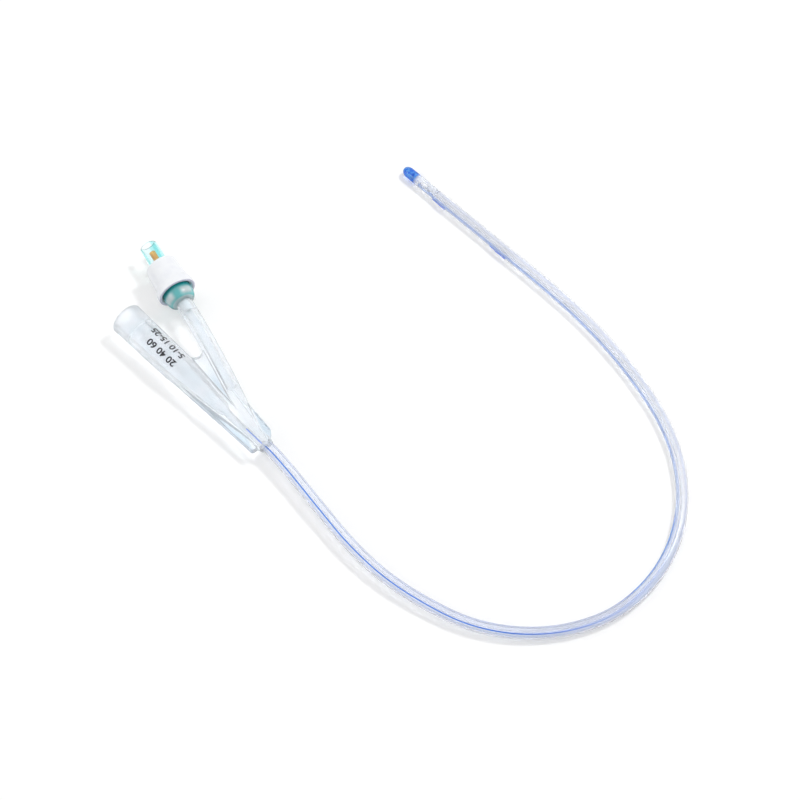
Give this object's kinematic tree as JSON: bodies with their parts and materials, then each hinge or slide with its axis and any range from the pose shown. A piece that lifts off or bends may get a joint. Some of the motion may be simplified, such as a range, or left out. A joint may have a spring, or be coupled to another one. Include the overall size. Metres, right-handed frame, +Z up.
{
  "type": "foley urinary catheter",
  "caption": "Two-way balloon catheter: a soft clear shaft with a blue eyed tip, a moulded Y connector with an open drainage funnel, and a sprung inflation valve.",
  "frame": {"origin": "on the table, under the middle of the Y connector and its valve", "axes": "+Y along the drainage funnel towards its mouth, +X towards the inflation arm's side, +Z up from the table"},
  "size_m": [0.1149, 0.1979, 0.0129],
  "materials": {
    "clear_silicone": "translucent moulded silicone, satin",
    "valve_plastic": "clear teal moulded plastic, glossy",
    "collar_plastic": "white moulded plastic, satin",
    "plunger_plastic": "amber moulded plastic",
    "seal_rubber": "black rubber",
    "spring_steel": "bright spring wire",
    "shaft_silicone": "translucent extruded silicone with a blue stripe, smooth",
    "tip_silicone": "blue translucent silicone, glossy"
  },
  "bodies": {
    "root": {"funnel_body": "clear_silicone", "valve_housing": "valve_plastic", "valve_base": "valve_plastic", "colour_collar": "collar_plastic", "valve_spring": "spring_steel", "shaft_tube": "shaft_silicone", "balloon_sleeve": "shaft_silicone", "tip": "tip_silicone"},
    "plunger": {"valve_plunger": "plunger_plastic", "valve_seal": "seal_rubber"}
  },
  "joints": [
    {"name": "plunger_slide", "type": "slide", "parent": "root", "child": "plunger", "axis": [-0.2385, -0.971, -0.0147], "range_m": [0, 0.002], "stiffness_N_per_m": 400, "springref_m": -0.001, "deforming": ["valve_spring"]}
  ]
}
